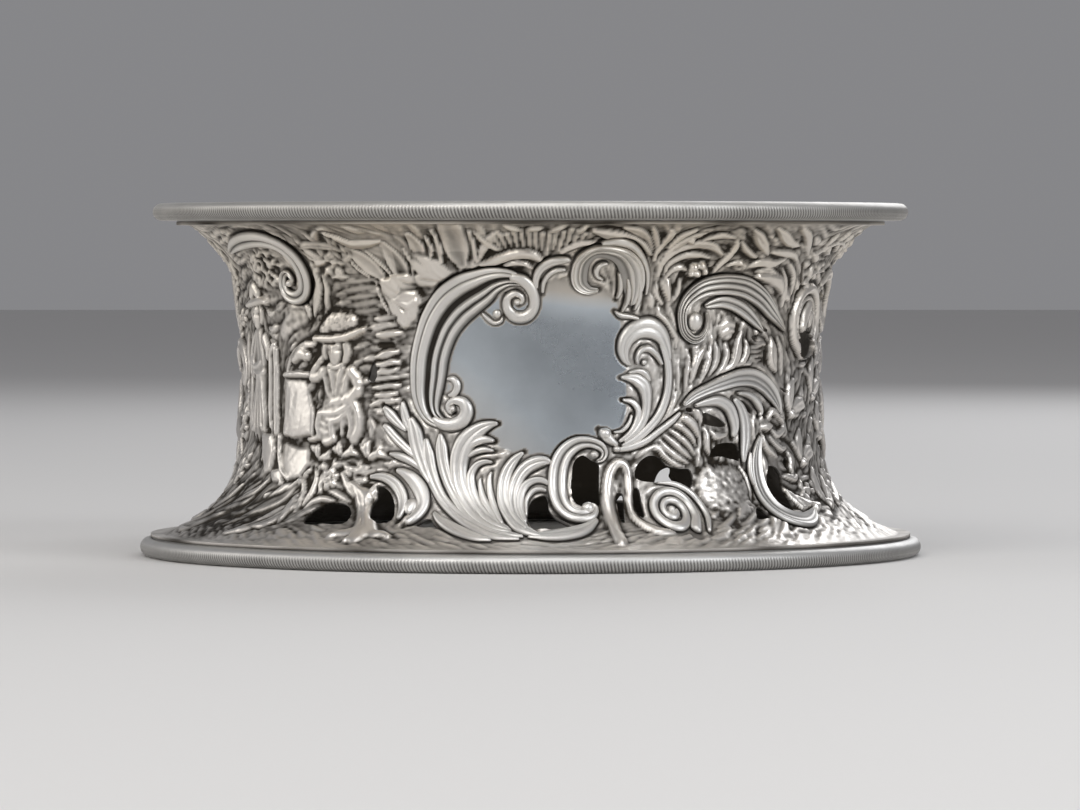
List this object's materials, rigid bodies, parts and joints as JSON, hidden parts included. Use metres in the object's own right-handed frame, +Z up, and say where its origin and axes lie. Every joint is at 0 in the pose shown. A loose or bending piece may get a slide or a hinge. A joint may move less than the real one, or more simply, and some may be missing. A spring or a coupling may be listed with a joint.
{
  "type": "dish ring",
  "caption": "Waisted ring of pierced silver sheet with wired rims and applied scrolls and leaves, made to stand a hot dish or bowl clear of a table.",
  "frame": {"origin": "centre of the plane that the foot stands on", "axes": "+Z up along the ring's axis; the front, with the plain cartouche, faces -Y"},
  "size_m": [0.196, 0.196, 0.088],
  "materials": {
    "band_silver": "chased silver, oxidised in the recesses",
    "wire_silver": "milled silver wire, softly worn",
    "mount_silver": "cast and polished silver"
  },
  "bodies": {
    "root": {"band": "band_silver", "rim_wire": "wire_silver", "foot_wire": "wire_silver", "front_cartouche_scroll": "mount_silver", "front_crest_link": "mount_silver", "front_crest_scroll": "mount_silver", "front_cartouche_leaf": "mount_silver", "front_base_scroll": "mount_silver", "front_base_acanthus": "mount_silver", "front_base_leaf": "mount_silver", "front_spray_leaf": "mount_silver", "front_hood_scroll": "mount_silver", "front_leaf_scroll": "mount_silver", "front_crescent_scroll": "mount_silver", "front_snail_scroll": "mount_silver", "front_corner_scroll": "mount_silver", "rear_cartouche_scroll": "mount_silver", "rear_crest_link": "mount_silver", "rear_crest_scroll": "mount_silver", "rear_cartouche_leaf": "mount_silver", "rear_base_scroll": "mount_silver", "rear_base_acanthus": "mount_silver", "rear_base_leaf": "mount_silver", "rear_spray_leaf": "mount_silver", "rear_hood_scroll": "mount_silver", "rear_leaf_scroll": "mount_silver", "rear_crescent_scroll": "mount_silver", "rear_snail_scroll": "mount_silver", "rear_corner_scroll": "mount_silver"}
  },
  "joints": []
}
